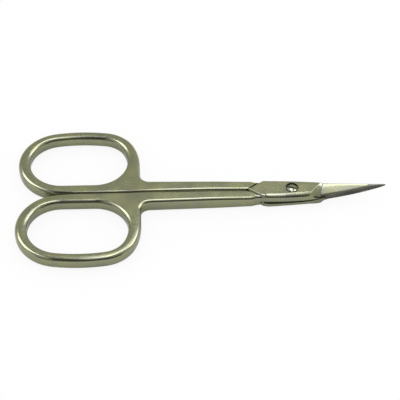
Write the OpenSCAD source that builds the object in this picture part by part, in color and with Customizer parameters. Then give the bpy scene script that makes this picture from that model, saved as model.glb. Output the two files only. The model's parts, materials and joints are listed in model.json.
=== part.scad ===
// Cuticle scissors, lying closed with the finger loops towards -X and the curved tips towards +X.
// The front half lies over the back half at the joint. The frame's origin is under the middle of the length.

/* [Overall reach] */
// Pivot to the far end of the finger loops
loop_reach = 67.3; // [60:0.1:80]
// Pivot to the tips
blade_reach = 23; // [21:0.1:27]

/* [Finger loops] */
// Outer length of one loop
loop_l = 30.2; // [26:0.1:36]
// Outer radius of both ends of a loop
loop_end_r = 11; // [9:0.1:12]
// Width of the bar that the loops are bent from
bar_w = 2.8; // [2.2:0.05:3.6]
// Thickness of the loops and shanks
bar_t = 3.3; // [2.8:0.05:3.6]
// Rounding of the bar's edges
edge_r = 0.8; // [0.3:0.05:1]
// Radius of the hollow corner where a loop meets its shank
crotch_r = 2.4; // [1:0.1:4]

/* [Shanks] */
// Width of a shank at the joint
shank_end_w = 3.05; // [2.8:0.05:3.4]
// Angle at which a shank's outer edge spreads towards its loop
shank_taper = 1.2; // [0:0.1:2.5]
// Space between the two shanks when closed
shank_gap = 0.2; // [0.1:0.05:0.6]

/* [Joint] */
// Pivot to the point of the arrow-shaped end of each plate
arrow_reach = 10.7; // [9.5:0.1:12]
// Angle of the arrow's edges to the length
arrow_angle = 37; // [30:1:45]
// Half width of a plate at its arrow end, on the spine side
plate_arrow_w = 3; // [2.6:0.05:3.4]
// Half width of a plate at the screw, on the spine side
plate_spine_w = 2.6; // [2.4:0.05:3]
// Half width of a plate at the screw, on the edge side
plate_edge_w = 2.4; // [2.2:0.05:2.6]
// Height of the raised pad on each plate, over the shank
pad_h = 0.3; // [0.1:0.05:0.5]
// Clearance between the two lapped faces
lap_gap = 0.1; // [0.06:0.01:0.2]
// Clearance between an arrow edge and the shoulder that stops it
shoulder_gap = 0.15; // [0.1:0.05:0.3]
// Slope of the trim that leads a shank's outer edge in to its plate
trim_angle = 14; // [8:1:30]

/* [Blades] */
// Pivot to the point where the edge side begins to narrow
edge_bend_x = 3.8; // [2.5:0.1:5]
// Pivot to the point where the spine side begins to narrow
spine_bend_x = 5; // [3:0.1:6]
// Half width at that point of the spine side
spine_bend_w = 2.2; // [1.9:0.05:2.4]
// Pivot to the heel of the blade
heel_x = 7.5; // [6.5:0.1:9]
// Half width of a blade at its heel
heel_w = 1.45; // [1.2:0.05:1.8]
// Half width of a blade just behind its tip
tip_w = 0.22; // [0.15:0.01:0.4]
// Length of the point beyond that
tip_l = 1; // [0.5:0.1:2]
// Thickness left along the cutting edges
edge_t = 0.12; // [0.08:0.01:0.18]
// Thickness of each blade at its tip
tip_t = 0.19; // [0.12:0.01:0.3]
// Radius of the upward curve of the lapped faces
lap_r = 104; // [95:1:130]
// Slope of the ground bevels, across the blade
bevel_angle = 31; // [26:1:34]
// Pivot to the crease where a pad gives way to its bevel
crease_x = 6.2; // [5:0.1:7.5]
// Angle of that crease to the length
crease_angle = 44; // [35:1:60]
// Slope of the ramp that leads down from the crease
ramp_angle = 40; // [30:1:60]

/* [Screw] */
// Diameter of the screw's head
head_d = 2.9; // [2.4:0.1:3.2]
// Height of the head's rim
head_h = 0.85; // [0.6:0.05:1]
// Radius of the head's domed top
dome_r = 4.5; // [3:0.1:8]
// Diameter of the plain shoulder that the front half turns on
shoulder_d = 2; // [1.8:0.05:2.2]
// Diameter of the thread
thread_d = 1.6; // [1.2:0.05:1.7]
// Depth of the thread's end inside the back plate
thread_inset = 0.1; // [0:0.05:0.4]
// Radial clearance of the front half on the shoulder, and axial clearance under the head
running_gap = 0.05; // [0.02:0.01:0.1]
// Clearance round the head
head_gap = 0.15; // [0.05:0.05:0.3]
// Width of the screwdriver slot
slot_w = 0.5; // [0.3:0.05:0.7]
// Depth of the screwdriver slot, under the rim
slot_d = 0.35; // [0.2:0.05:0.5]
// Turn of the slot away from the length
slot_turn = -20; // [-90:1:90]

/* [Hidden] */
$fn = 96;

// Levels: the pads are the lowest and the highest flat faces at the joint
joint_t = bar_t + 2 * pad_h;
lap_z = joint_t / 2;
shank_top = joint_t - pad_h;

// The joint's place in the frame
pivot_x = (loop_reach - blade_reach) / 2;

// Centre lines of a loop, in the pivot's own frame, on the +Y side
rear_x = loop_end_r - loop_reach;
loop_straight = loop_l - 2 * loop_end_r;
fore_x = rear_x + loop_straight;
loop_y = shank_gap / 2 + loop_end_r;
end_c = loop_end_r - bar_w / 2;

// Rounded rails that edge a shank, its neck and the hollow corner
rail_flat = 0.2;
rail_w = 2 * edge_r + rail_flat;
crotch_c = crotch_r + rail_w / 2;
rail_y = shank_gap / 2 + rail_w / 2;
arrow_end_x = plate_arrow_w / tan(arrow_angle) - arrow_reach;
edge_corner_x = plate_edge_w / tan(arrow_angle) - arrow_reach;
shank_end_x = arrow_end_x + 1;
shank_l = shank_end_x - fore_x;
trim_l = 6;

// The neck and the shank's outer rail, in a frame at the fore centre of the loop, turned by the taper
neck_x = loop_end_r - rail_w / 2;
outer_y = shank_l * sin(shank_taper) + (shank_end_w + shank_gap / 2 - loop_y) * cos(shank_taper) - rail_w / 2;

// Blade: the bevels follow the lapped faces' curve, so that the edges keep one thickness
curve_x = 1;
under_x = 3;
edge_taper = (heel_w - tip_w) / (blade_reach - tip_l - heel_x);
bevel_shift = lap_r * edge_taper * tan(bevel_angle);
sink = 0.1;
big = 60;
fine = 1440;

// Half width of the blade at x
function blade_w(x) = heel_w - edge_taper * (x - heel_x);

// Rise of the lapped faces' curve at x
function lap_rise(x) = lap_r - sqrt(pow(lap_r, 2) - pow(x - curve_x, 2));

// Radius of a curve that is level at x and has risen by the given height at the tip
function curve_r(x, rise) = (pow(blade_reach - x, 2) + pow(rise, 2)) / (2 * rise);

// Height over the lapped face of the bevel's plane at the blade's middle, where the bevel is level
function bevel_depth(x) = edge_t + blade_w(x) * tan(bevel_angle);

// A bar's section: a rectangle with rounded corners, centred
module bar_section(w) {
    r = min(edge_r, (w - rail_flat) / 2, (bar_t - rail_flat) / 2);
    square([w - 2 * r, bar_t], center = true);
    square([w, bar_t - 2 * r], center = true);
    for (x = [-1, 1], y = [-1, 1])
        translate([x * (w / 2 - r), y * (bar_t / 2 - r)]) circle(r);
}

module straight_bar(length, w) {
    rotate([90, 0, 90]) linear_extrude(length) bar_section(w);
}

module arc_bar(radius, from, to, w) {
    rotate([0, 0, from]) rotate_extrude(angle = to - from) translate([radius, 0]) bar_section(w);
}

// The closed ring of one finger loop
module loop_ring() {
    translate([rear_x, loop_y, 0]) arc_bar(end_c, 90, 270, bar_w);
    translate([fore_x, loop_y, 0]) arc_bar(end_c, -90, 90, bar_w);
    for (side = [-1, 1])
        translate([rear_x, loop_y + side * end_c, 0]) straight_bar(loop_straight, bar_w);
}

// Flat web that fills between the loop, its neck and the shank
module web_outline() {
    intersection() {
        translate([fore_x, rail_y]) square([shank_l, big]);
        translate([fore_x, loop_y]) rotate(-shank_taper) difference() {
            union() {
                translate([-big, -big]) square([big + neck_x, big]);
                translate([0, outer_y - big]) square(big);
                translate([neck_x, outer_y]) difference() {
                    square(crotch_c);
                    translate([crotch_c, crotch_c]) circle(crotch_c);
                }
            }
            circle(end_c, $fn = fine);
        }
    }
}

// Rails along the shank's two edges, the neck and the hollow corner between them
module rails() {
    translate([fore_x, rail_y, 0]) straight_bar(shank_l, rail_w);
    translate([fore_x, loop_y, 0]) rotate(-shank_taper) translate([neck_x, outer_y, 0]) {
        translate([0, crotch_c, 0]) rotate([0, 0, 90]) straight_bar(-outer_y - crotch_c, rail_w);
        translate([crotch_c, crotch_c, 0]) arc_bar(crotch_c, 180, 270, rail_w);
        translate([crotch_c, 0, 0]) straight_bar(shank_l - neck_x - crotch_c, rail_w);
    }
}

// Region of the other half's arrow, grown to leave a clearance at the shoulders
module arrow_wedge() {
    point_x = -arrow_reach - shoulder_gap / sin(arrow_angle);
    reach = big / 2;
    polygon([[point_x, 0], [point_x + reach, reach * tan(arrow_angle)],
             [point_x + reach, -reach * tan(arrow_angle)]]);
}

// Region outside the shank's end: beyond the plate's shoulder, and beside the slanting trim
module beyond_shank() {
    translate([arrow_end_x + shoulder_gap, -big / 2]) square(big);
    polygon([[edge_corner_x - trim_l, plate_edge_w + trim_l * tan(trim_angle)],
             [edge_corner_x, plate_edge_w], [big, plate_edge_w], [big, big], [edge_corner_x - trim_l, big]]);
}

// Loop and shank of the back half, about the joint's mid height, lapped to take the front plate
module loop_and_shank() {
    difference() {
        union() {
            loop_ring();
            rails();
            linear_extrude(bar_t, center = true) web_outline();
        }
        translate([0, 0, -lap_gap / 2]) linear_extrude(big) arrow_wedge();
        linear_extrude(big, center = true) beyond_shank();
    }
}

// Outline of the front half's plate and blade, seen from above
module blade_outline() {
    polygon([[-arrow_reach, 0], [edge_corner_x, -plate_edge_w], [edge_bend_x, -plate_edge_w],
             [heel_x, -heel_w], [blade_reach - tip_l, -tip_w], [blade_reach, 0],
             [blade_reach - tip_l, tip_w], [heel_x, heel_w], [spine_bend_x, spine_bend_w],
             [0, plate_spine_w], [arrow_end_x, plate_arrow_w]]);
}

// Side view: everything above a line that is level up to x and then curves up
module above_curve(x, z, radius) {
    translate([x - big, z]) square([big, big / 2]);
    intersection() {
        translate([x, z + radius]) circle(radius, $fn = fine);
        translate([x, z]) square([big, big / 2]);
    }
}

module side_extrude() {
    translate([0, big / 2, 0]) rotate([90, 0, 0]) linear_extrude(big) children();
}

// Side view of the front plate and blade: over the lapped face, under the blade's back
module front_side() {
    face_z = lap_z + lap_gap / 2;
    difference() {
        above_curve(curve_x, face_z, lap_r - lap_gap / 2);
        above_curve(0, shank_top, curve_r(0, face_z + lap_rise(blade_reach) + tip_t - shank_top));
    }
}

// Side view of the back plate and blade: over its underside, under the lapped face
module back_side() {
    face_z = lap_z - lap_gap / 2;
    difference() {
        above_curve(under_x, pad_h, curve_r(under_x, face_z + lap_rise(blade_reach) - tip_t - pad_h));
        above_curve(curve_x, face_z, lap_r + lap_gap / 2);
    }
}

// The pad ends at the slanting crease where the blade's bevel begins
module pad_outline() {
    intersection() {
        blade_outline();
        translate([crease_x, 0]) rotate([0, 0, crease_angle]) translate([-big, 0]) square([2 * big, big]);
    }
}

// Everything over the ramp that leads from the pad's crease down to the bevel
module over_ramp() {
    translate([crease_x, 0, joint_t]) rotate([0, 0, crease_angle - 90]) rotate([0, ramp_angle, 0])
        translate([-big / 2, -big / 2, 0]) cube(big);
}

// Ground off the top of the front blade, down to its cutting edge on the -Y side
module front_bevel() {
    x = curve_x + bevel_shift;
    z = lap_z + lap_gap / 2 + lap_rise(x) + bevel_depth(x);
    intersection() {
        rotate([bevel_angle, 0, 0]) side_extrude()
            above_curve(x, z * cos(bevel_angle), lap_r / cos(bevel_angle));
        over_ramp();
    }
}

// Ground off the underside of the back blade, up to its cutting edge on the +Y side
module back_bevel() {
    x = curve_x - bevel_shift;
    z = lap_z - lap_gap / 2 + lap_rise(x) - bevel_depth(x);
    intersection() {
        rotate([bevel_angle, 0, 0]) side_extrude() difference() {
            translate([-big / 2, -big / 2]) square(big);
            above_curve(x, z * cos(bevel_angle), lap_r / cos(bevel_angle));
        }
        translate([0, 0, joint_t]) rotate([180, 0, 0]) over_ramp();
    }
}

// Lower half, with its loop on the +Y side and the thread for the screw
module back_half() {
    color([0.6, 0.6, 0.48]) translate([pivot_x, 0, 0]) difference() {
        union() {
            translate([0, 0, lap_z]) loop_and_shank();
            difference() {
                intersection() {
                    linear_extrude(big) mirror([0, 1]) blade_outline();
                    side_extrude() back_side();
                }
                back_bevel();
            }
            linear_extrude(pad_h + sink) mirror([0, 1]) pad_outline();
        }
        translate([0, 0, -lap_z]) cylinder(h = joint_t, d = thread_d);
    }
}

// Upper half, with its loop on the -Y side, bored for the screw's shoulder and head
module front_half() {
    color([0.62, 0.62, 0.5]) translate([pivot_x, 0, 0]) difference() {
        union() {
            translate([0, 0, lap_z]) rotate([180, 0, 0]) loop_and_shank();
            difference() {
                intersection() {
                    linear_extrude(big) blade_outline();
                    side_extrude() front_side();
                }
                front_bevel();
            }
            translate([0, 0, shank_top - sink]) linear_extrude(pad_h + sink) pad_outline();
        }
        cylinder(h = joint_t, r = shoulder_d / 2 + running_gap);
        translate([0, 0, joint_t - head_h - running_gap]) cylinder(h = joint_t, r = head_d / 2 + head_gap);
    }
}

// Slotted screw with a domed head, a plain shoulder and a thread in the back half
module pivot_screw() {
    shoulder_z = lap_z - lap_gap / 2;
    dome_z = joint_t - sqrt(pow(dome_r, 2) - pow(head_d / 2, 2));
    color([0.55, 0.55, 0.45]) translate([pivot_x, 0, 0]) difference() {
        union() {
            translate([0, 0, thread_inset]) cylinder(h = lap_z - thread_inset, d = thread_d);
            translate([0, 0, shoulder_z]) cylinder(h = joint_t - head_h - shoulder_z, d = shoulder_d);
            intersection() {
                translate([0, 0, joint_t - head_h]) cylinder(h = 2 * head_h, d = head_d);
                translate([0, 0, dome_z]) sphere(dome_r, $fn = 180);
            }
        }
        translate([0, 0, joint_t - slot_d]) rotate([0, 0, slot_turn])
            translate([-head_d, -slot_w / 2, 0]) cube([2 * head_d, slot_w, head_h]);
    }
}

back_half();
front_half();
pivot_screw();
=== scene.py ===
"""Cuticle scissors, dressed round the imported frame: two forged halves and the screw that joins them."""

import json
import math

import bmesh
import bpy
import numpy as np
from mathutils import Matrix, Vector


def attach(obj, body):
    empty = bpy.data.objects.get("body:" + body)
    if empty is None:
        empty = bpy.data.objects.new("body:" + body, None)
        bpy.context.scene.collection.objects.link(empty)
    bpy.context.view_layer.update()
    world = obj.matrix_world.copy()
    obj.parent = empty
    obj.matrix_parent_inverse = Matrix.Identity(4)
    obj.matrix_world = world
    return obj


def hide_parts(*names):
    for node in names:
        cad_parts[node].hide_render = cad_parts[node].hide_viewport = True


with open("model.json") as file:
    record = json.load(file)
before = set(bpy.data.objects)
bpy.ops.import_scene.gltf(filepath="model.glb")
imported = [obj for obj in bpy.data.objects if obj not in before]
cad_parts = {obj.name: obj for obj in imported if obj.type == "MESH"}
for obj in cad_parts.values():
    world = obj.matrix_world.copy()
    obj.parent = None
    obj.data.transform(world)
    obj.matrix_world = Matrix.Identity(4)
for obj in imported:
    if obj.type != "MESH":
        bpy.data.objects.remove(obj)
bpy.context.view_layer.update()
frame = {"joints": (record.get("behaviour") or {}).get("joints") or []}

# Nickel plating
# The bare steel is polished by hand and nickel plated. The plating has a warm, olive-grey tone, with faint
# cloudy patches and fine polishing lines along the length. The ground bevels of the blades are duller. The
# ground sides of the blades are duller too, and their dark tone is painted shade for the dark that their
# slanting faces reflect. The same dark finish paints the shade in the gap round the screw's head.
nickel_tone = (0.295, 0.3, 0.178, 1)
nickel_deep = (0.255, 0.265, 0.19, 1)
nickel_dull = (0.12, 0.22)
ground_painted_dark_tone = (0.112, 0.112, 0.094, 1)
ground_painted_dark_deep = (0.082, 0.082, 0.07, 1)
ground_dull = (0.3, 0.42)
bevel_tone = (0.3, 0.3, 0.25, 1)
bevel_deep = (0.235, 0.235, 0.205, 1)
bevel_dull = (0.38, 0.46)
cloud_scale = 260
cloud_spread = (0.35, 0.65)
line_scale = (900, 9000, 9000)
line_strength = 0.03
line_depth = 0.00002


def steel_finish(name, light, deep, dulling):
    """Metal with cloudy patches between two tones, and fine lines along its length."""
    material = bpy.data.materials.new(name)
    material.use_nodes = True
    nodes, links = material.node_tree.nodes, material.node_tree.links
    shader = nodes["Principled BSDF"]
    shader.inputs["Metallic"].default_value = 1.0
    place = nodes.new("ShaderNodeTexCoord").outputs["Object"]

    clouds = nodes.new("ShaderNodeTexNoise")
    clouds.inputs["Scale"].default_value = cloud_scale
    clouds.inputs["Detail"].default_value = 4
    links.new(place, clouds.inputs["Vector"])
    tone = nodes.new("ShaderNodeMix")
    tone.data_type = "RGBA"
    tone.inputs["A"].default_value = deep
    tone.inputs["B"].default_value = light
    spread = nodes.new("ShaderNodeMapRange")
    spread.inputs["From Min"].default_value = cloud_spread[0]
    spread.inputs["From Max"].default_value = cloud_spread[1]
    links.new(clouds.outputs["Fac"], spread.inputs["Value"])
    links.new(spread.outputs["Result"], tone.inputs["Factor"])
    links.new(tone.outputs["Result"], shader.inputs["Base Color"])

    dull = nodes.new("ShaderNodeMapRange")
    dull.inputs["To Min"].default_value = dulling[0]
    dull.inputs["To Max"].default_value = dulling[1]
    links.new(clouds.outputs["Fac"], dull.inputs["Value"])
    links.new(dull.outputs["Result"], shader.inputs["Roughness"])

    stretch = nodes.new("ShaderNodeMapping")
    stretch.inputs["Scale"].default_value = line_scale
    links.new(place, stretch.inputs["Vector"])
    lines = nodes.new("ShaderNodeTexNoise")
    lines.inputs["Scale"].default_value = 1
    lines.inputs["Detail"].default_value = 3
    links.new(stretch.outputs["Vector"], lines.inputs["Vector"])
    relief = nodes.new("ShaderNodeBump")
    relief.inputs["Strength"].default_value = line_strength
    relief.inputs["Distance"].default_value = line_depth
    links.new(lines.outputs["Fac"], relief.inputs["Height"])
    links.new(relief.outputs["Normal"], shader.inputs["Normal"])
    return material


nickel_plate = steel_finish("nickel_plate", nickel_tone, nickel_deep, nickel_dull)
# The second finish is the blades' ground steel sides, painted dark as shade for the dark they reflect, and
# the painted shade in the gap round the screw's head.
ground_and_painted_shade = steel_finish("ground_and_painted_shade", ground_painted_dark_tone, ground_painted_dark_deep, ground_dull)
ground_bevel = steel_finish("ground_bevel", bevel_tone, bevel_deep, bevel_dull)

# Loops and shanks
# Each half is one bar of steel, bent round into a closed finger loop and forged out into a long shank.
# The bar is near square with well rounded edges. Sizes are in millimetres from the screw's axis, and
# both halves are shaped alike, lying on the lapped face, with the loop on the -Y side.
MM = 0.001
pivot = Vector(frame["joints"][0]["pos_m"])
loop_t = 3.1
shank_t = 3.5
parted_y = 1.2
outer_edge_r = [(-41, 0.92), (-35, 0.76)]
parted_edge_r = [(-57, 0.92), (-54, 0.5), (-36, 0.5), (-24, 0.68)]
side_crown = 0.05
side_steps = 27
wall_share = 0.3
part_gap = 0.03
outline_step = 0.6
seam_gap = 0.002
loop_draw_x = (-43.0, -33.0)
joint_draw_x = (-20.0, -9.0)
rear_runs = [(10.84, -171.2), (41.9, -17.4), (9.0, -56.9), (15.9, -24.5)]
neck_x = -37.12
crotch_r = 2.4
crotch_y = 3.66
shank_slope = -1.2
trim_x = -10.1
trim_slope = -18
trim_r = 1.1
shank_end_x = -6.4
shank_end_y = 2.75
joint_end_t = 3.1
hole_start = (-48.4, 3.1)
hole_runs = [(8.16, 94.9), (10.3, 19.6), (6.2, 56.9), (39.5, 16.95)]


def walk(start, heading, runs, step=0.4):
    """Points along straights (0, length) and arcs (radius, turn). A positive turn is to the left."""
    points = [Vector(start).to_2d()]
    for radius, amount in runs:
        at = points[-1].copy()
        if radius == 0:
            points.append(at + amount * Vector((math.cos(heading), math.sin(heading))))
            continue
        turn = math.radians(amount)
        side = math.copysign(radius, turn)
        count = max(3, math.ceil(radius * abs(turn) / step))
        for i in range(1, count + 1):
            a = heading + turn * i / count
            reach = Vector((math.sin(a) - math.sin(heading), math.cos(heading) - math.cos(a)))
            points.append(at + side * reach)
        heading += turn
    return points


def half_outline():
    """Outer edge of the loop and shank, from the joint back round the loop."""
    rear = walk((0, part_gap), math.pi, rear_runs)
    rear_x = neck_x - rear[-1].x
    rear = [p + Vector((rear_x, 0)) for p in rear]
    slope = math.radians(shank_slope)
    crotch = walk((neck_x, crotch_y + crotch_r), -math.pi / 2, [(crotch_r, 90 + shank_slope)])
    shank = (trim_x - crotch[-1].x) / math.cos(slope)
    trim = math.radians(trim_slope)
    shank_y = crotch[-1].y + shank * math.sin(slope)
    arcs_drop = trim_r * (math.cos(slope) - math.cos(trim)) + trim_r * (1 - math.cos(trim))
    ramp = (shank_y - shank_end_y - arcs_drop) / math.sin(-trim)
    runs = [(trim_r, trim_slope - shank_slope), (0, ramp), (trim_r, -trim_slope)]
    trimmed = walk((trim_x, shank_y), slope, runs)
    return [Vector((shank_end_x, part_gap)), *rear, *crotch, *trimmed, Vector((shank_end_x, shank_end_y))]


def hole_outline():
    """Inner edge of the finger loop. The last arc's radius closes it."""
    side = walk(hole_start, 0, hole_runs)
    turned = sum(turn for _, turn in hole_runs)
    last_r = (side[-1].y - hole_start[1]) / (1 - math.cos(math.radians(turned)))
    rear = walk(side[-1], math.radians(turned), [(last_r, 360 - turned)])
    return [*side, *rear[1:]]


def value_at(line, x):
    return float(np.interp(x, *zip(*line)))


def edge_radius(at):
    """How far the edges are rounded at a place: most round the loops, least where the two halves meet."""
    return value_at(outer_edge_r if at.y > parted_y else parted_edge_r, at.x)


def in_scene(name, data):
    made = bpy.data.objects.new(name, data)
    bpy.context.collection.objects.link(made)
    return made


def solid(name, shape):
    """A closed shape as an object, with its faces outwards."""
    bmesh.ops.recalc_face_normals(shape, faces=shape.faces)
    mesh = bpy.data.meshes.new(name)
    shape.to_mesh(mesh)
    shape.free()
    return in_scene(name, mesh)


def outline_curves(name, outlines):
    """Closed flat curves, evenly stepped, with the loop on the -Y side. A point's radius is its edge's."""
    data = bpy.data.curves.new(name, "CURVE")
    data.dimensions = "3D"
    for outline in outlines:
        points = []
        for a, b in zip(outline, outline[1:] + outline[:1]):
            count = max(1, math.ceil((b - a).length / outline_step))
            points += [a.lerp(b, i / count) for i in range(count) if (b - a).length > 1e-6]
        spline = data.splines.new("POLY")
        spline.points.add(len(points) - 1)
        for point, at in zip(spline.points, points):
            point.co = (at.x, -at.y, 0, 1)
            point.radius = edge_radius(at)
        spline.use_cyclic_u = True
    return in_scene(name, data)


def rounded_bar_tree():
    """Geometry nodes: a flat outline becomes a bar, its edges rounded by each point's own radius."""
    tree = bpy.data.node_groups.new("rounded_bar", "GeometryNodeTree")
    tree.interface.new_socket("Outline", in_out="INPUT", socket_type="NodeSocketGeometry")
    for label, kind, value in (("Loop thickness", "Float", loop_t), ("Shank thickness", "Float", shank_t),
                               ("Joint end thickness", "Float", joint_end_t),
                               ("Side crown", "Float", side_crown), ("Steps", "Int", side_steps)):
        socket = tree.interface.new_socket(label, in_out="INPUT", socket_type="NodeSocket" + kind)
        socket.default_value = value
    tree.interface.new_socket("Finish", in_out="INPUT", socket_type="NodeSocketMaterial")
    tree.interface.new_socket("Bar", in_out="OUTPUT", socket_type="NodeSocketGeometry")
    nodes, links = tree.nodes, tree.links

    def add(kind, inputs=(), **settings):
        node = nodes.new(kind)
        for key, value in settings.items():
            setattr(node, key, value)
        for key, value in dict(inputs).items():
            if isinstance(value, bpy.types.NodeSocket):
                links.new(value, node.inputs[key])
            else:
                node.inputs[key].default_value = value
        return node

    def maths(operation, a, b=0.0):
        return add("ShaderNodeMath", {0: a, 1: b}, operation=operation).outputs[0]

    def vectors(operation, inputs):
        return add("ShaderNodeVectorMath", inputs, operation=operation).outputs[0]

    def rescale(value, low, high, to_low, to_high, **settings):
        return add("ShaderNodeMapRange", {"Value": value, "From Min": low, "From Max": high,
                                          "To Min": to_low, "To Max": to_high}, **settings).outputs[0]

    def keep(geometry, items):
        node = nodes.new("GeometryNodeCaptureAttribute")
        links.new(geometry, node.inputs["Geometry"])
        for label, (kind, value) in items.items():
            node.capture_items.new(kind, label)
            links.new(value, node.inputs[label])
        return node.outputs

    given = add("NodeGroupInput").outputs
    outward = vectors("CROSS_PRODUCT", {0: add("GeometryNodeInputTangent").outputs[0], 1: (0, 0, 1)})
    rim = keep(given["Outline"], {"Rim": ("VECTOR", add("GeometryNodeInputPosition").outputs[0]),
                                  "Outward": ("VECTOR", outward),
                                  "Edge": ("FLOAT", add("GeometryNodeInputRadius").outputs[0])})
    side = add("GeometryNodeCurvePrimitiveLine", {"Start": (0, 1, 0), "End": (0, -1, 0)}).outputs[0]
    steps = add("GeometryNodeResampleCurve", {"Curve": side, "Count": given["Steps"]}).outputs[0]
    down = keep(steps, {"Down": ("FLOAT", add("GeometryNodeSplineParameter").outputs["Factor"])})
    swept = add("GeometryNodeCurveToMesh", {"Curve": rim["Geometry"], "Profile Curve": down["Geometry"]})

    half = maths("MULTIPLY", given["Shank thickness"], 0.5)
    level = maths("SUBTRACT", half, rim["Edge"])
    up = maths("SUBTRACT", 1.0, maths("MULTIPLY", down["Down"], 2.0))
    wall = rescale(up, -wall_share, wall_share, -1.0, 1.0)
    turn = rescale(maths("ABSOLUTE", up), wall_share, 1.0, 0.0, math.pi / 2)
    rounded = maths("MULTIPLY", maths("MULTIPLY", maths("SINE", turn), maths("SIGN", up)), rim["Edge"])
    rise = maths("ADD", maths("MULTIPLY", wall, level), rounded)
    crown = maths("MULTIPLY", maths("SUBTRACT", 1.0, maths("MULTIPLY", wall, wall)), given["Side crown"])
    inset = maths("MULTIPLY", maths("SUBTRACT", maths("COSINE", turn), 1.0), rim["Edge"])
    shift = maths("ADD", inset, maths("SUBTRACT", crown, given["Side crown"]))
    sideways = vectors("SCALE", {0: rim["Outward"], "Scale": shift})
    lifted = add("ShaderNodeCombineXYZ", {"Z": rise}).outputs[0]
    moved = vectors("ADD", {0: sideways, 1: lifted})
    on_bar = vectors("ADD", {0: rim["Rim"], 1: moved})
    shaped = add("GeometryNodeSetPosition", {"Geometry": swept.outputs[0], "Position": on_bar}).outputs[0]

    drop = maths("MULTIPLY", maths("ADD", rim["Edge"], given["Side crown"]), -1.0)
    inward = vectors("SCALE", {0: rim["Outward"], "Scale": drop})
    drawn_in = add("GeometryNodeSetPosition", {"Geometry": rim["Geometry"], "Offset": inward}).outputs[0]
    flat = add("GeometryNodeFillCurve", {"Curve": drawn_in}).outputs[0]
    whole = add("GeometryNodeJoinGeometry")
    links.new(shaped, whole.inputs[0])
    for height in (half, maths("MULTIPLY", half, -1.0)):
        lift = add("ShaderNodeCombineXYZ", {"Z": height}).outputs[0]
        face = add("GeometryNodeTransform", {"Geometry": flat, "Translation": lift}).outputs[0]
        links.new(face, whole.inputs[0])
    closed = add("GeometryNodeMergeByDistance", {"Geometry": whole.outputs[0], "Distance": seam_gap})

    place = add("ShaderNodeSeparateXYZ", {0: add("GeometryNodeInputPosition").outputs[0]}).outputs
    loop_share = maths("DIVIDE", given["Loop thickness"], given["Shank thickness"])
    joint_share = maths("DIVIDE", given["Joint end thickness"], given["Shank thickness"])
    swell = rescale(place["X"], *loop_draw_x, loop_share, 1.0, interpolation_type="SMOOTHSTEP")
    fall = rescale(place["X"], *joint_draw_x, 1.0, joint_share, interpolation_type="SMOOTHSTEP")
    drawn_z = maths("MULTIPLY", place["Z"], maths("MULTIPLY", swell, fall))
    drawn_to = add("ShaderNodeCombineXYZ", {"X": place["X"], "Y": place["Y"], "Z": drawn_z}).outputs[0]
    drawn = add("GeometryNodeSetPosition", {"Geometry": closed.outputs[0], "Position": drawn_to}).outputs[0]
    real = add("GeometryNodeRealizeInstances", {"Geometry": drawn}).outputs[0]
    finished = add("GeometryNodeSetMaterial", {"Geometry": real, "Material": given["Finish"]}).outputs[0]
    out = add("NodeGroupOutput")
    links.new(finished, out.inputs[0])
    return tree


def plain_mesh(obj, name):
    """The evaluated object as a mesh object of its own, without modifiers, merged and facing outwards."""
    bpy.context.view_layer.update()
    done = obj.evaluated_get(bpy.context.evaluated_depsgraph_get())
    mesh = bpy.data.meshes.new_from_object(done)
    mesh.name = name
    shape = bmesh.new()
    shape.from_mesh(mesh)
    bmesh.ops.remove_doubles(shape, verts=shape.verts, dist=0.001)
    bmesh.ops.recalc_face_normals(shape, faces=shape.faces)
    shape.to_mesh(mesh)
    shape.free()
    bpy.data.objects.remove(obj)
    return in_scene(name, mesh)


bar_curves = outline_curves("bar_outline", [half_outline(), hole_outline()])
bending = bar_curves.modifiers.new("bend", "NODES")
bending.node_group = rounded_bar_tree()
finish_socket = bending.node_group.interface.items_tree["Finish"]
bending[finish_socket.identifier] = nickel_plate
bar = plain_mesh(bar_curves, "bar")

# Plates and blades
# Past the shank each half is forged down to half its thickness, as an arrow-shaped plate with a raised pad.
# The plate runs on into a short blade, ground to a slanting bevel and bent upwards with the lapped face.
arrow_x = -10.85
arrow_slope = math.tan(math.radians(37))
blade_spine_line = [(11, 1.36), (16, 0.92), (19, 0.62), (22, 0.28), (23, 0.06)]
spine_line = [(arrow_x, 0.0), (-7.0, 2.85), (-5, 2.95), (0, 2.72), (3.5, 2.47), (5.5, 2.15), (7.5, 1.65),
              *blade_spine_line]
under_spine_line = [(arrow_x, 0.0), (-7.2, 2.8), (-5.8, 3.12), (-3, 3.04), (0, 2.84), (3.5, 2.58), (6, 2.2),
                    (7.7, 1.65), *blade_spine_line]
edge_line = [(arrow_x, 0.0), (-7.0, 2.9), (-5, 2.98), (-2, 3.0), (0.7, 2.88), (3.2, 2.72), (6.4, 2.36),
             (8.2, 2.1), (10.9, 1.68), (15.8, 1.02), (20, 0.45), (22, 0.22), (23, 0.06)]
corner_reach = 0.5
arrow_corner_reach = 0.12
pad_top = 1.95
lap_level = 0.07
lap_r = 104
lap_start = 1
spine_top = 1.65
tip_t = 0.17
arrow_gap = 0.4
wedge_l = 12
arrow_edge_r = 0.3
corner_share = 0.45
near_share = 0.75
spine_share = 0.6
across_steps = 76
near_run = [(-7.8, arrow_edge_r), (-6.4, 1.04), (-3, 1.105), (1, 1.3)]
near_drop = [(-7.8, arrow_edge_r), (-6.4, 0.75)]
spine_r = [(-8, 0.5), (-5, 0.9), (4, 0.9), (7.5, 0.28)]
under_spine_r = [(-9, 1.0), (-6, 0.95), (-2, 1.15), (4, 1.15), (7, 0.5), (10, 0.9)]
spine_lip = 0.12
under_spine_lip = 0.42
edge_foot = 0.12
edge_face_start = 0.05
edge_slope = math.tan(math.radians(47))
edge_blend = 0.26
facet_lift = [(18, 0.34), (23, 0.12)]
facet_slope = math.tan(math.radians(24))
facet_crown = 0.028
back_blend = 0.1
crease_x = 5.9
crease_turn = math.radians(52)
ramp_slope = math.tan(math.radians(40))
ramp_blend = 0.5
heel_x = 9.5
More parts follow.
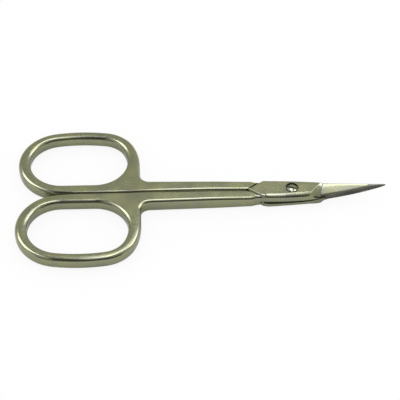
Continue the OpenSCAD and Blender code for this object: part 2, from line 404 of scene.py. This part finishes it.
heel_slope = 0.5
pad_blend = 0.02
blade_tip = 23


def width_at(line, x):
    """Half width of a plate on one side, its corners softened by polishing."""
    reach = arrow_corner_reach if x < -5 else corner_reach
    xs = np.linspace(x - reach, x + reach, 9)
    return float(np.interp(xs, *zip(*line)).mean())


def lap_rise(x):
    return lap_r - math.sqrt(lap_r ** 2 - max(0.0, x - lap_start) ** 2)


def soft_min(a, b, reach):
    """The lower of two levels, with the corner between them rounded."""
    overlap = max(reach - abs(a - b), 0) / reach
    return min(a, b) - overlap ** 2 * reach / 4


def soft_max(a, b, reach):
    return -soft_min(-a, -b, reach)


def plate_top(x, y, lap, back):
    """Level of the ground top of a plate or blade, over a lapped face at the level lap."""
    inward = y + width_at(edge_line, x)
    edge_face = lap + edge_face_start + inward * edge_slope
    facet = lap + value_at(facet_lift, x) + inward * facet_slope - inward ** 2 * facet_crown
    blade = soft_min(soft_min(edge_face, facet, edge_blend), back, back_blend)
    past = (x - crease_x) * math.sin(crease_turn) - y * math.cos(crease_turn)
    ramp = pad_top - past * ramp_slope
    ceiling = pad_top + max(0.0, x - heel_x) * heel_slope
    return soft_min(ceiling, soft_max(ramp, blade, ramp_blend), pad_blend)


def plate_section(x, bend):
    """Closed section at x, as points (y, z). bend is 1 where the plate curves up and -1 where down."""
    upper = bend > 0
    lap = lap_level + bend * lap_rise(x)
    tip_rise = bend * lap_rise(blade_tip) + lap_level + tip_t - spine_top
    start = 0 if upper else 0.5
    curve_r = ((blade_tip - start) ** 2 + tip_rise ** 2) / (2 * abs(tip_rise))
    back = spine_top + bend * (curve_r - math.sqrt(curve_r ** 2 - max(0.0, x - start) ** 2))
    left, right = width_at(edge_line, x), width_at(spine_line if upper else under_spine_line, x)
    slant = float(np.interp(x, (-7.4, -6.8), (math.cos(math.atan(arrow_slope)), 1)))
    room = left + right
    wall_l = plate_top(x, -left, lap, back) - lap
    wall_r = plate_top(x, right, lap, back) - lap
    run = min(value_at(near_run, x), room * corner_share * slant)
    drop = min(value_at(near_drop, x), wall_l * near_share)
    spine_run = value_at(spine_r if upper else under_spine_r, x)
    r_r = min(spine_run, wall_r * spine_share, room * corner_share * slant)
    corner = [math.radians(a) for a in range(0, 91, 10)]
    points = []
    for a in corner:
        y = -left + run * (1 - math.cos(a)) / slant
        points.append((y, plate_top(x, y, lap, back) - drop * (1 - math.sin(a))))
    inner_l, inner_r = -left + run / slant, right - r_r / slant
    for i in range(1, across_steps):
        y = inner_l + (inner_r - inner_l) * i / across_steps
        points.append((y, plate_top(x, y, lap, back)))
    for a in reversed(corner):
        y = right - r_r * (1 - math.cos(a)) / slant
        points.append((y, plate_top(x, y, lap, back) - r_r * (1 - math.sin(a))))
    foot = min(edge_foot, wall_l * 0.2)
    lip = min(spine_lip if upper else under_spine_lip, wall_r * 0.25, room / 4)
    points += [(right, lap + lip), (right - lip, lap)]
    points += [(right - room * k / 4, lap) for k in (1, 2, 3)]
    points += [(-left + min(foot, room / 5), lap), (-left, lap + foot)]
    return points


def plate_and_blade(name, bend):
    stations = np.concatenate([np.arange(arrow_x + 0.03, -6, 0.1), np.arange(-6, 2.5, 0.25),
                               np.arange(2.5, 10, 0.05), np.arange(10, blade_tip - 0.05, 0.2), [blade_tip]])
    shape = bmesh.new()
    rings = [[shape.verts.new((x, y, z)) for y, z in plate_section(float(x), bend)] for x in stations]
    for ring, after in zip(rings, rings[1:]):
        for i in range(len(ring)):
            j = (i + 1) % len(ring)
            shape.faces.new((ring[i], ring[j], after[j], after[i]))
    shape.faces.new(rings[0])
    shape.faces.new(rings[-1])
    return solid(name, shape)


def prism(name, outline, low, high):
    """A straight block over a flat outline, to cut with."""
    shape = bmesh.new()
    face = shape.faces.new([shape.verts.new((x, y, low)) for x, y in outline])
    top = bmesh.ops.extrude_face_region(shape, geom=[face])
    lifted = [v for v in top["geom"] if isinstance(v, bmesh.types.BMVert)]
    bmesh.ops.translate(shape, verts=lifted, vec=(0, 0, high - low))
    return solid(name, shape)


def combine(target, tool, operation):
    """Adds or cuts one closed shape, and drops the tool."""
    step = target.modifiers.new(operation.lower(), "BOOLEAN")
    step.operation = operation
    step.solver = "EXACT"
    step.object = tool
    made = plain_mesh(target, target.name)
    bpy.data.objects.remove(tool)
    return made


def round_outline(radius, count=72):
    turns = [math.tau * i / count for i in range(count)]
    return [(radius * math.cos(a), radius * math.sin(a)) for a in turns]


def forged_half(name, bend, bores):
    """One half: the bar, cut away under the other half's arrow, with its plate, blade and bores."""
    body = in_scene(name + "_bar", bar.data.copy())
    point = arrow_x - arrow_gap / math.sin(math.atan(arrow_slope))
    wedge_w = wedge_l * arrow_slope
    wedge = [(point, 0.0), (point + wedge_l, -wedge_w), (point + wedge_l, wedge_w)]
    body = combine(body, prism("lap_cut", wedge, -5, lap_level), "DIFFERENCE")
    body = combine(body, plate_and_blade(name + "_plate", bend), "UNION")
    for radius, low in bores:
        body = combine(body, prism("bore", round_outline(radius), low, 5), "DIFFERENCE")
    return body


def finish_faces(piece, choose):
    """Plates a piece, with the ground finishes and the painted shade where choose(place, direction) picks
    them by number.
    """
    piece.data.materials.clear()
    for finish in (nickel_plate, ground_and_painted_shade, ground_bevel):
        piece.data.materials.append(finish)
    for face in piece.data.polygons:
        face.material_index = choose(face.center, face.normal)


# Where the painted shade and the ground finishes go, in millimetres.
painted_recess_shade_r = 1.7
ground_from = 8.2
painted_side_shade_until = 17
plated_until = 18.7
sharp_angle = math.radians(18)


def half_finish_and_painted_shade(at, facing):
    """The blade's ground sides, duller and painted dark as shade for the dark they reflect; painted shade
    round the head's recess; dull on the bevel along the cutting edge.
    """
    upright = abs(facing.z) < 0.55
    flat = abs(facing.z) > 0.8
    # Painted shade on the walls of the recess round the screw's head.
    if math.hypot(at.x, at.y) < painted_recess_shade_r and at.z > 1 and upright:
        return 1
    if at.x < ground_from or (flat and at.x < plated_until):
        return 0
    # The blade's upright ground sides take the painted dark shade; the bevel takes its own duller finish.
    return 1 if upright and at.x < painted_side_shade_until else 2


def place_piece(piece, name, node, body, turned):
    """Seats a piece on the screw's axis, in metres. The back half lies turned over."""
    turn_over = Matrix.Rotation(math.pi if turned else 0, 4, "X")
    piece.data.transform(Matrix.Translation(pivot) @ turn_over @ Matrix.Scale(MM, 4))
    piece.name = name
    piece.data.shade_smooth()
    piece.data.set_sharp_from_angle(angle=sharp_angle)
    weighted = piece.modifiers.new("even_normals", "WEIGHTED_NORMAL")
    weighted.keep_sharp = True
    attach(piece, body)
    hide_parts(node)


# Front half
# The upper half, forged from one bar and plated. It is bored for the screw's shoulder, which it turns on, and
# sunk for the head.
shoulder_bore = (1.05, -5)
head_recess = (1.65, 1.05)
front = forged_half("front", 1, [shoulder_bore, head_recess])
finish_faces(front, half_finish_and_painted_shade)
place_piece(front, "front_scissor_half", "front_half", "front", False)

# Back half
# The lower half, forged as the other is and turned over, so that its plate lies under the other's. Its hole
# is threaded for the screw.
thread_bore = (0.8, -5)
back = forged_half("back", -1, [thread_bore])
finish_faces(back, half_finish_and_painted_shade)
place_piece(back, "back_scissor_half", "back_half", "back", True)
bpy.data.objects.remove(bar)

# Screw
# A slotted steel screw with a low domed head, turned and plated, and sunk in the front half. Its shoulder is
# the hinge pin, and its thread runs through the back half and is filed flush.
head_r = 1.28
head_rise = 1.99
head_under = 1.08
head_edge_r = 0.14
dome_r = 6
shoulder_r = 1.0
shoulder_end = 0.02
thread_start = -0.06
thread_r = 0.78
thread_depth = 0.09
thread_pitch = 0.35
thread_end = -1.84
thread_steps = 96
slot_w = 0.46
slot_d = 0.4
slot_turn = math.radians(-20)


def screw_finish_and_painted_shade(at, facing):
    """Painted shade on the rim of the head, where it stands sunk in its recess."""
    return 1 if abs(facing.z) < 0.5 and at.z > 1 and math.hypot(at.x, at.y) > 1.2 else 0


def turned_outline():
    """Half of the screw's section, from the axis at the top to the axis underneath, as (radius, level)."""
    drop = dome_r - math.sqrt(dome_r ** 2 - head_r ** 2)
    dome = [head_r * i / 10 for i in range(9)]
    points = [(r, head_rise - dome_r + math.sqrt(dome_r ** 2 - r ** 2)) for r in dome]
    for i in range(7):
        a = math.pi / 2 * (1 - i / 6)
        level_at = head_rise - drop - head_edge_r * (1 - math.sin(a))
        points.append((head_r - head_edge_r * (1 - math.cos(a)), level_at))
    points += [(head_r, head_under), (shoulder_r, head_under), (shoulder_r, shoulder_end)]
    points.append((thread_r, thread_start))
    for i in range(1, thread_steps):
        points.append((thread_r, thread_start + (thread_end + 0.16) * i / thread_steps))
    points += [(thread_r, thread_end + 0.1), (thread_r - 0.1, thread_end), (0, thread_end)]
    return points


screw_shape = bmesh.new()
outline = turned_outline()
facets = 64
top_point = screw_shape.verts.new((0, 0, outline[0][1]))
end_point = screw_shape.verts.new((0, 0, outline[-1][1]))
rings = []
for radius, height in outline[1:-1]:
    ring = []
    for j in range(facets):
        a = math.tau * j / facets
        cut = 0
        if thread_end + 0.15 < height < -0.1:
            turn = (height / thread_pitch - j / facets) % 1.0
            cut = thread_depth * abs(2 * turn - 1)
        reach = radius - cut
        ring.append(screw_shape.verts.new((reach * math.cos(a), reach * math.sin(a), height)))
    rings.append(ring)
for ring, after in zip(rings, rings[1:]):
    for j in range(facets):
        k = (j + 1) % facets
        screw_shape.faces.new((ring[j], after[j], after[k], ring[k]))
for j in range(facets):
    k = (j + 1) % facets
    screw_shape.faces.new((top_point, rings[0][j], rings[0][k]))
    screw_shape.faces.new((end_point, rings[-1][k], rings[-1][j]))
screw = solid("screw", screw_shape)
along = Vector((math.cos(slot_turn), math.sin(slot_turn)))
across = Vector((-along.y, along.x)) * slot_w / 2
slot_ends = [along * 3 - across, along * 3 + across, -along * 3 + across, -along * 3 - across]
screw = combine(screw, prism("slot", [(p.x, p.y) for p in slot_ends], head_rise - slot_d, 5), "DIFFERENCE")
# The head's rim takes the painted shade of the gap round it.
finish_faces(screw, screw_finish_and_painted_shade)
place_piece(screw, "pivot_screw_turned", "pivot_screw", "back", False)

# Camera
# It looks down on the scissors from the near side at the photograph's angle, level with the shanks.
view_turn = math.radians(-4.07)
view_height = math.radians(46)
view_roll = math.radians(1.83)
view_distance = 0.3263
focal_pixels = 1324.7
frame_pixels = 400
look_at = Vector((-0.000385, -0.000138, 0.0003))
backward = Vector((math.sin(view_turn) * math.cos(view_height),
                   -math.cos(view_turn) * math.cos(view_height),
                   math.sin(view_height)))
level = Vector((math.cos(view_turn), math.sin(view_turn), 0))
upward = backward.cross(level)
right = math.cos(view_roll) * level + math.sin(view_roll) * upward
upward = backward.cross(right)
camera = in_scene("camera", bpy.data.cameras.new("camera"))
camera.data.sensor_width = 36
camera.data.lens = focal_pixels * camera.data.sensor_width / frame_pixels
camera.data.clip_start = 0.01
camera.matrix_world = Matrix((right, upward, backward)).transposed().to_4x4()
camera.location = look_at + view_distance * backward
bpy.context.scene.camera = camera

# Table and lights
# A white table in a white tent, with soft lights overhead and a dark strip of the room behind the viewer. The
# lights' faces and the dark strip are seen in the plating only.
table_r = 3.0
table_white = 0.88
bpy.context.scene.view_settings.view_transform = "Standard"
world = bpy.data.worlds.new("tent")
world.use_nodes = True
world.node_tree.nodes["Background"].inputs["Color"].default_value = (1, 1, 1, 1)
world.node_tree.nodes["Background"].inputs["Strength"].default_value = 1.0
bpy.context.scene.world = world

table_paint = bpy.data.materials.new("table_paint")
table_paint.use_nodes = True
table_nodes, table_links = table_paint.node_tree.nodes, table_paint.node_tree.links
table_nodes.remove(table_nodes["Principled BSDF"])
matt = table_nodes.new("ShaderNodeBsdfDiffuse")
matt.inputs["Color"].default_value = (1, 1, 1, 1)
white = table_nodes.new("ShaderNodeEmission")
white.inputs["Strength"].default_value = 1.0
clear = table_nodes.new("ShaderNodeBsdfTransparent")
ray = table_nodes.new("ShaderNodeLightPath")
softened = table_nodes.new("ShaderNodeMath")
softened.operation = "MULTIPLY"
softened.inputs[1].default_value = table_white
faint_shade = table_nodes.new("ShaderNodeMixShader")
table_links.new(ray.outputs["Is Camera Ray"], softened.inputs[0])
table_links.new(softened.outputs[0], faint_shade.inputs["Fac"])
table_links.new(matt.outputs[0], faint_shade.inputs[1])
table_links.new(white.outputs[0], faint_shade.inputs[2])
underside = table_nodes.new("ShaderNodeNewGeometry")
from_below = table_nodes.new("ShaderNodeMixShader")
table_links.new(underside.outputs["Backfacing"], from_below.inputs["Fac"])
table_links.new(faint_shade.outputs[0], from_below.inputs[1])
table_links.new(clear.outputs[0], from_below.inputs[2])
table_links.new(from_below.outputs[0], table_nodes["Material Output"].inputs["Surface"])
table_mesh = bpy.data.meshes.new("table")
corners = [(-table_r, -table_r, 0), (table_r, -table_r, 0), (table_r, table_r, 0), (-table_r, table_r, 0)]
table_mesh.from_pydata(corners, [], [(0, 1, 2, 3)])
table_mesh.materials.append(table_paint)
in_scene("table", table_mesh)


near_tint = (1, 1, 1.1, 1)
far_tint = (1, 1, 0.84, 1)


def tent_panel(name, strength, aside, angles, radius=1.5, tint=near_tint):
    """A glowing or dark panel bent round the X axis, seen in the plating only. aside is its reach along X,
    as shares of the radius. The angles are 0 towards the viewer, 90 overhead and 180 away."""
    material = bpy.data.materials.new(name)
    material.use_nodes = True
    nodes, links = material.node_tree.nodes, material.node_tree.links
    nodes.remove(nodes["Principled BSDF"])
    glow = nodes.new("ShaderNodeEmission")
    glow.inputs["Color"].default_value = tint
    glow.inputs["Strength"].default_value = strength
    links.new(glow.outputs[0], nodes["Material Output"].inputs["Surface"])
    low, high = (math.radians(a) for a in angles)
    steps = 12
    bow = [low + (high - low) * i / steps for i in range(steps + 1)]
    points = [(x * radius, -radius * math.cos(a), radius * math.sin(a)) for a in bow for x in aside]
    mesh = bpy.data.meshes.new(name)
    mesh.from_pydata(points, [], [(2 * i, 2 * i + 1, 2 * i + 3, 2 * i + 2) for i in range(steps)])
    mesh.materials.append(material)
    panel = in_scene(name, mesh)
    panel.visible_camera = False
    panel.visible_diffuse = False
    panel.visible_shadow = False
    panel.visible_transmission = False


tent_panel("middle_light", 4.8, (-0.045, 0.15), (100, 129))
tent_panel("middle_glow", 2.0, (-0.05, 0.17), (82, 100))
tent_panel("middle_low", 0.7, (-0.05, 0.17), (58, 82))
tent_panel("left_light", 4.4, (-1.3, -0.3), (97, 131))
tent_panel("right_light", 4.4, (0.3, 1.3), (100, 131))
tent_panel("left_gap", 0.4, (-0.3, -0.03), (92, 127))
tent_panel("right_gap", 0.4, (0.15, 0.3), (95, 127))
tent_panel("left_dark", 0.06, (-0.3, -0.05), (40, 92))
tent_panel("right_dark", 0.06, (0.17, 0.27), (40, 95))
tent_panel("left_front", 0.7, (-1.3, -0.3), (40, 97))
tent_panel("right_front", 0.62, (0.27, 1.3), (54, 100), tint=far_tint)
tent_panel("right_low", 0.08, (0.27, 1.3), (40, 54))
tent_panel("right_end", 0.72, (1.3, 3.5), (40, 131), tint=far_tint)
tent_panel("front", 0.08, (-1.3, 1.3), (25, 40), 1.6)
tent_panel("front_low", 0.4, (-1.3, 1.3), (3, 25), 1.6, tint=far_tint)
tent_panel("front_middle", 0.05, (-0.05, 0.17), (40, 58))
tent_panel("far_wall", 0.66, (-1.3, 0.09), (131, 168), tint=far_tint)
tent_panel("far_middle", 0.66, (-0.3, 0.09), (127, 131), tint=far_tint)
tent_panel("far_right", 0.76, (0.09, 0.6), (131, 168), tint=far_tint)
